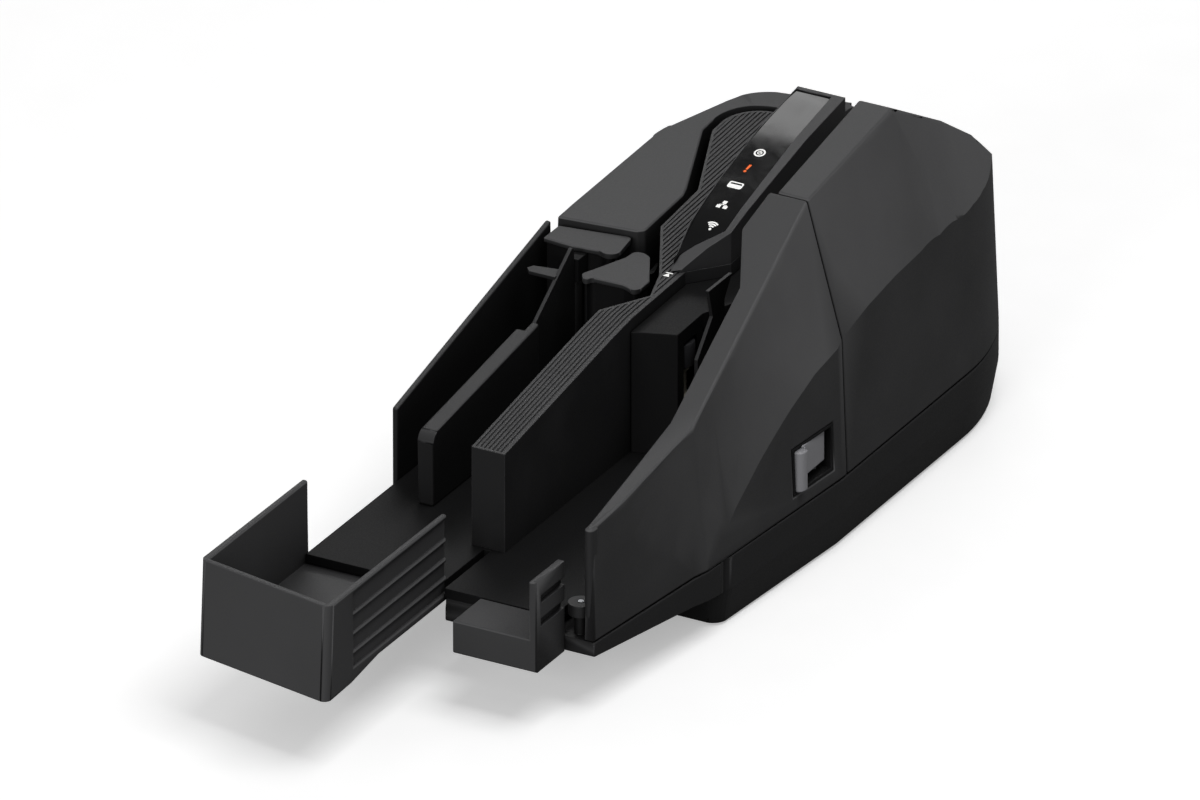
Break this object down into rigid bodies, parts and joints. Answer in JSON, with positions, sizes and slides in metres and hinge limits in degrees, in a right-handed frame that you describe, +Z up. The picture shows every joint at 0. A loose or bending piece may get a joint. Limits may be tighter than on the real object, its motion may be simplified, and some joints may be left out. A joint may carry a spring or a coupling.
{
  "type": "cheque scanner",
  "caption": "Desktop cheque scanner with swinging path covers, an on-edge feed hopper, a display ridge, sorting pockets and a cantilevered pocket tray.",
  "frame": {"origin": "under the middle of the machine, on the surface it stands on", "axes": "+Z up, +Y from the trays to the rear sockets, +X towards the hopper side"},
  "size_m": [0.145, 0.44, 0.1556],
  "materials": {
    "cover_black": "fine spark-eroded texture, charcoal",
    "case_black": "fine spark-eroded texture, darker charcoal",
    "inner_black": "smooth moulded black",
    "gloss_black": "polished black window",
    "lens_white": "translucent white",
    "lever_grey": "satin mid grey",
    "roller_rubber": "ground rubber",
    "belt_rubber": "moulded belt",
    "rubber_black": "moulded feet",
    "bush_plastic": "natural acetal",
    "steel": "turned or sheared steel",
    "motor_zinc": "zinc plated can",
    "socket_metal": "tinned shell",
    "board_green": "solder mask",
    "scan_glass": "clear strip"
  },
  "bodies": {
    "case": {"lower_case": "case_black", "case_screws": "steel", "rubber_feet": "rubber_black", "deck": "inner_black", "shaft_bushes": "bush_plastic", "island_cover": "cover_black", "path_guide": "inner_black", "bearing_plate": "steel", "return_bearing_plate": "steel", "display_bezel": "cover_black", "display_window": "gloss_black", "status_lenses": "lens_white", "display_board": "board_green", "main_exit_cap": "cover_black", "gate_exit_cap": "cover_black", "main_exit_block": "inner_black", "gate_exit_block": "inner_black", "pocket_divider": "cover_black", "pocket_side_wall": "cover_black", "gate_solenoid": "steel", "transport_motor": "motor_zinc", "feed_motor": "motor_zinc", "transport_belt": "belt_rubber", "feed_belt": "belt_rubber", "scan_bar_front": "inner_black", "scan_glass": "scan_glass", "print_cartridge": "bush_plastic", "main_board": "board_green", "rear_pillar": "cover_black", "power_inlet": "inner_black", "data_sockets": "socket_metal", "hinge_pins": "steel"},
    "front_cover": {"feed_cover": "cover_black", "retard_bracket": "inner_black", "lever_dish": "inner_black"},
    "lever": {"release_lever": "lever_grey"},
    "paddle": {"hopper_paddle": "cover_black"},
    "back_cover": {"rear_cover": "cover_black", "scan_bar_back": "inner_black", "magnetic_head": "socket_metal"},
    "left_cover": {"return_cover": "cover_black"},
    "tray": {"pocket_tray": "cover_black"},
    "feed_tray": {"hopper_tray": "cover_black"},
    "flap": {"pocket_flap": "cover_black"},
    "gate": {"sorting_gate": "inner_black"},
    "button": {"power_button": "lever_grey"},
    "pick": {"pick_roller": "roller_rubber"},
    "feed": {"feed_roller": "roller_rubber"},
    "right_drive": {"right_drive_roller": "roller_rubber"},
    "rear_drive": {"rear_drive_roller": "roller_rubber"},
    "left_drive": {"left_drive_roller": "roller_rubber"},
    "exit": {"exit_roller": "roller_rubber"},
    "retard": {"retard_roller": "roller_rubber"},
    "right_pinch": {"right_pinch_roller": "roller_rubber"},
    "rear_pinch": {"rear_pinch_roller": "roller_rubber"},
    "left_pinch": {"left_pinch_roller": "roller_rubber"},
    "exit_pinch": {"exit_pinch_roller": "roller_rubber"},
    "transport_drive": {"transport_motor_shaft": "steel"},
    "feed_drive": {"feed_motor_shaft": "steel"}
  },
  "joints": [
    {"name": "front_cover_swing", "type": "hinge", "parent": "case", "child": "front_cover", "pos_m": [0.04749, -0.12269, 0.06], "axis": [0, 0, -1], "range_deg": [0, 60]},
    {"name": "back_cover_swing", "type": "hinge", "parent": "case", "child": "back_cover", "pos_m": [0.0223, 0.2145, 0.06], "axis": [0, 0, 1], "range_deg": [0, 60]},
    {"name": "left_cover_swing", "type": "hinge", "parent": "case", "child": "left_cover", "pos_m": [-0.0123, 0.21032, 0.06], "axis": [0, 0, -1], "range_deg": [0, 60]},
    {"name": "lever_pull", "type": "hinge", "parent": "front_cover", "child": "lever", "pos_m": [0.06621, 0.0307, 0.06], "axis": [0, 0, 1], "range_deg": [0, 14], "stiffness_Nm_per_rad": 0.02},
    {"name": "paddle_press", "type": "hinge", "parent": "front_cover", "child": "paddle", "pos_m": [0.03197, 0.02596, 0.06], "axis": [0, 0, -1], "range_deg": [0, 14], "stiffness_Nm_per_rad": 0.02},
    {"name": "flap_swing", "type": "hinge", "parent": "case", "child": "flap", "pos_m": [-0.05089, 0.05104, 0.06], "axis": [0, 0, -1], "range_deg": [0, 12], "stiffness_Nm_per_rad": 0.01},
    {"name": "gate_swing", "type": "hinge", "parent": "case", "child": "gate", "pos_m": [-0.02653, 0.06644, 0.06], "axis": [0, 0, 1], "range_deg": [0, 18], "stiffness_Nm_per_rad": 0.01},
    {"name": "tray_slide", "type": "slide", "parent": "case", "child": "tray", "axis": [0, 1, 0], "range_m": [0, 0.03]},
    {"name": "feed_tray_slide", "type": "slide", "parent": "case", "child": "feed_tray", "axis": [0, -1, 0], "range_m": [0, 0.022]},
    {"name": "button_press", "type": "slide", "parent": "case", "child": "button", "axis": [0, -1, 0], "range_m": [0, 0.0015], "stiffness_N_per_m": 400},
    {"name": "transport_drive_spin", "type": "hinge", "parent": "case", "child": "transport_drive", "pos_m": [0.01204, 0.06204, 0.06], "axis": [0, 0, 1], "continuous": true},
    {"name": "feed_drive_spin", "type": "hinge", "parent": "case", "child": "feed_drive", "pos_m": [0.03197, 0.02992, 0.06], "axis": [0, 0, 1], "continuous": true},
    {"name": "pick_spin", "type": "hinge", "parent": "case", "child": "pick", "pos_m": [0.0087, 0.02398, 0.06], "axis": [0, 0, 1], "continuous": true},
    {"name": "feed_spin", "type": "hinge", "parent": "case", "child": "feed", "pos_m": [0.01151, 0.04098, 0.06], "axis": [0, 0, 1], "continuous": true},
    {"name": "right_drive_spin", "type": "hinge", "parent": "case", "child": "right_drive", "pos_m": [0.0292, 0.11, 0.06], "axis": [0, 0, 1], "continuous": true},
    {"name": "rear_drive_spin", "type": "hinge", "parent": "case", "child": "rear_drive", "pos_m": [0.00399, 0.1747, 0.06], "axis": [0, 0, 1], "continuous": true},
    {"name": "left_drive_spin", "type": "hinge", "parent": "case", "child": "left_drive", "pos_m": [-0.02322, 0.09504, 0.06], "axis": [0, 0, 1], "continuous": true},
    {"name": "exit_spin", "type": "hinge", "parent": "case", "child": "exit", "pos_m": [-0.0282, 0.05698, 0.06], "axis": [0, 0, 1], "continuous": true},
    {"name": "retard_spin", "type": "hinge", "parent": "front_cover", "child": "retard", "pos_m": [0.02341, 0.03504, 0.06], "axis": [0, 0, 1], "continuous": true},
    {"name": "right_pinch_spin", "type": "hinge", "parent": "back_cover", "child": "right_pinch", "pos_m": [0.0435, 0.11, 0.06], "axis": [0, 0, 1], "continuous": true},
    {"name": "rear_pinch_spin", "type": "hinge", "parent": "case", "child": "rear_pinch", "pos_m": [0.00399, 0.189, 0.06], "axis": [0, 0, 1], "continuous": true},
    {"name": "left_pinch_spin", "type": "hinge", "parent": "left_cover", "child": "left_pinch", "pos_m": [-0.03752, 0.09504, 0.06], "axis": [0, 0, 1], "continuous": true},
    {"name": "exit_pinch_spin", "type": "hinge", "parent": "case", "child": "exit_pinch", "pos_m": [-0.0374, 0.05803, 0.06], "axis": [0, 0, 1], "continuous": true}
  ],
  "couplings": [
    {"joint": "pick_spin", "follows": "feed_drive_spin", "ratio": 1},
    {"joint": "feed_spin", "follows": "feed_drive_spin", "ratio": 1},
    {"joint": "retard_spin", "follows": "feed_drive_spin", "ratio": -1.1667},
    {"joint": "right_drive_spin", "follows": "transport_drive_spin", "ratio": 1},
    {"joint": "rear_drive_spin", "follows": "transport_drive_spin", "ratio": 1},
    {"joint": "left_drive_spin", "follows": "transport_drive_spin", "ratio": 1},
    {"joint": "exit_spin", "follows": "transport_drive_spin", "ratio": 1},
    {"joint": "right_pinch_spin", "follows": "transport_drive_spin", "ratio": -1.3333},
    {"joint": "rear_pinch_spin", "follows": "transport_drive_spin", "ratio": -1.3333},
    {"joint": "left_pinch_spin", "follows": "transport_drive_spin", "ratio": -1.3333},
    {"joint": "exit_pinch_spin", "follows": "transport_drive_spin", "ratio": -1.0698}
  ]
}
